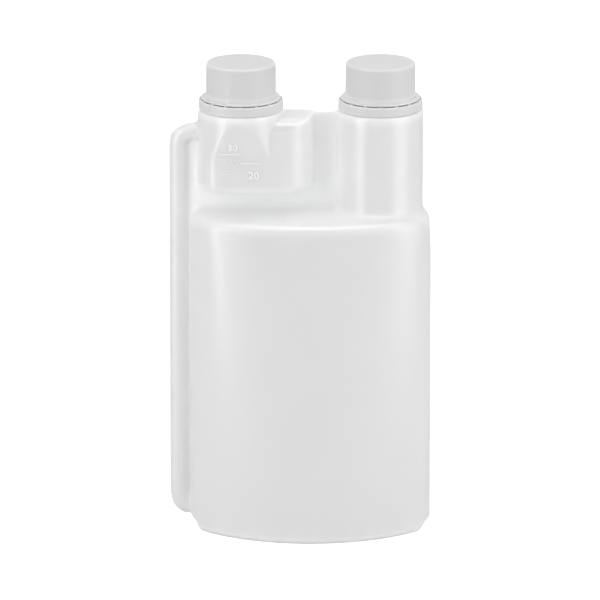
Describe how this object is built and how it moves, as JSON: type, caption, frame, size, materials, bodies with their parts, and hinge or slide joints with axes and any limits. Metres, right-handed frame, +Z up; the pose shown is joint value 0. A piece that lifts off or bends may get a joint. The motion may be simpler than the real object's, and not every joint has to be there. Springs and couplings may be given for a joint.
{
  "type": "dosing bottle",
  "caption": "Flat-sided squeeze bottle with an outside feed duct, a graduated dosing chamber on one neck, a pouring neck beside it, and screw caps.",
  "frame": {"origin": "on the standing plane, under the middle of the overall width and depth", "axes": "+Z up through the necks, +X from the feed duct towards the pouring neck, graduations face -Y"},
  "size_m": [0.122, 0.07, 0.2228],
  "materials": {
    "bottle_plastic": "satin, slightly translucent natural polyethylene",
    "cap_plastic": "satin",
    "liner_foam": "matt foam"
  },
  "bodies": {
    "bottle": {"bottle": "bottle_plastic", "dosing_band": "cap_plastic", "main_band": "cap_plastic"},
    "dosing_wad": {"dosing_cap_liner": "liner_foam"},
    "dosing_closure": {"dosing_cap": "cap_plastic"},
    "main_wad": {"main_cap_liner": "liner_foam"},
    "main_closure": {"main_cap": "cap_plastic"}
  },
  "joints": [
    {"name": "dosing_cap_lift", "type": "slide", "parent": "bottle", "child": "dosing_wad", "axis": [0, 0, 1], "range_m": [0, 0.015]},
    {"name": "dosing_cap_turn", "type": "hinge", "parent": "dosing_wad", "child": "dosing_closure", "pos_m": [-0.027, 0, 0.2058], "axis": [0, 0, 1], "range_deg": [0, 1260]},
    {"name": "main_cap_lift", "type": "slide", "parent": "bottle", "child": "main_wad", "axis": [0, 0, 1], "range_m": [0, 0.015]},
    {"name": "main_cap_turn", "type": "hinge", "parent": "main_wad", "child": "main_closure", "pos_m": [0.0375, 0, 0.2058], "axis": [0, 0, 1], "range_deg": [0, 1260]}
  ],
  "couplings": [
    {"joint": "dosing_cap_lift", "follows": "dosing_cap_turn", "m_per_rad": 0.00066845},
    {"joint": "main_cap_lift", "follows": "main_cap_turn", "m_per_rad": 0.00066845}
  ]
}
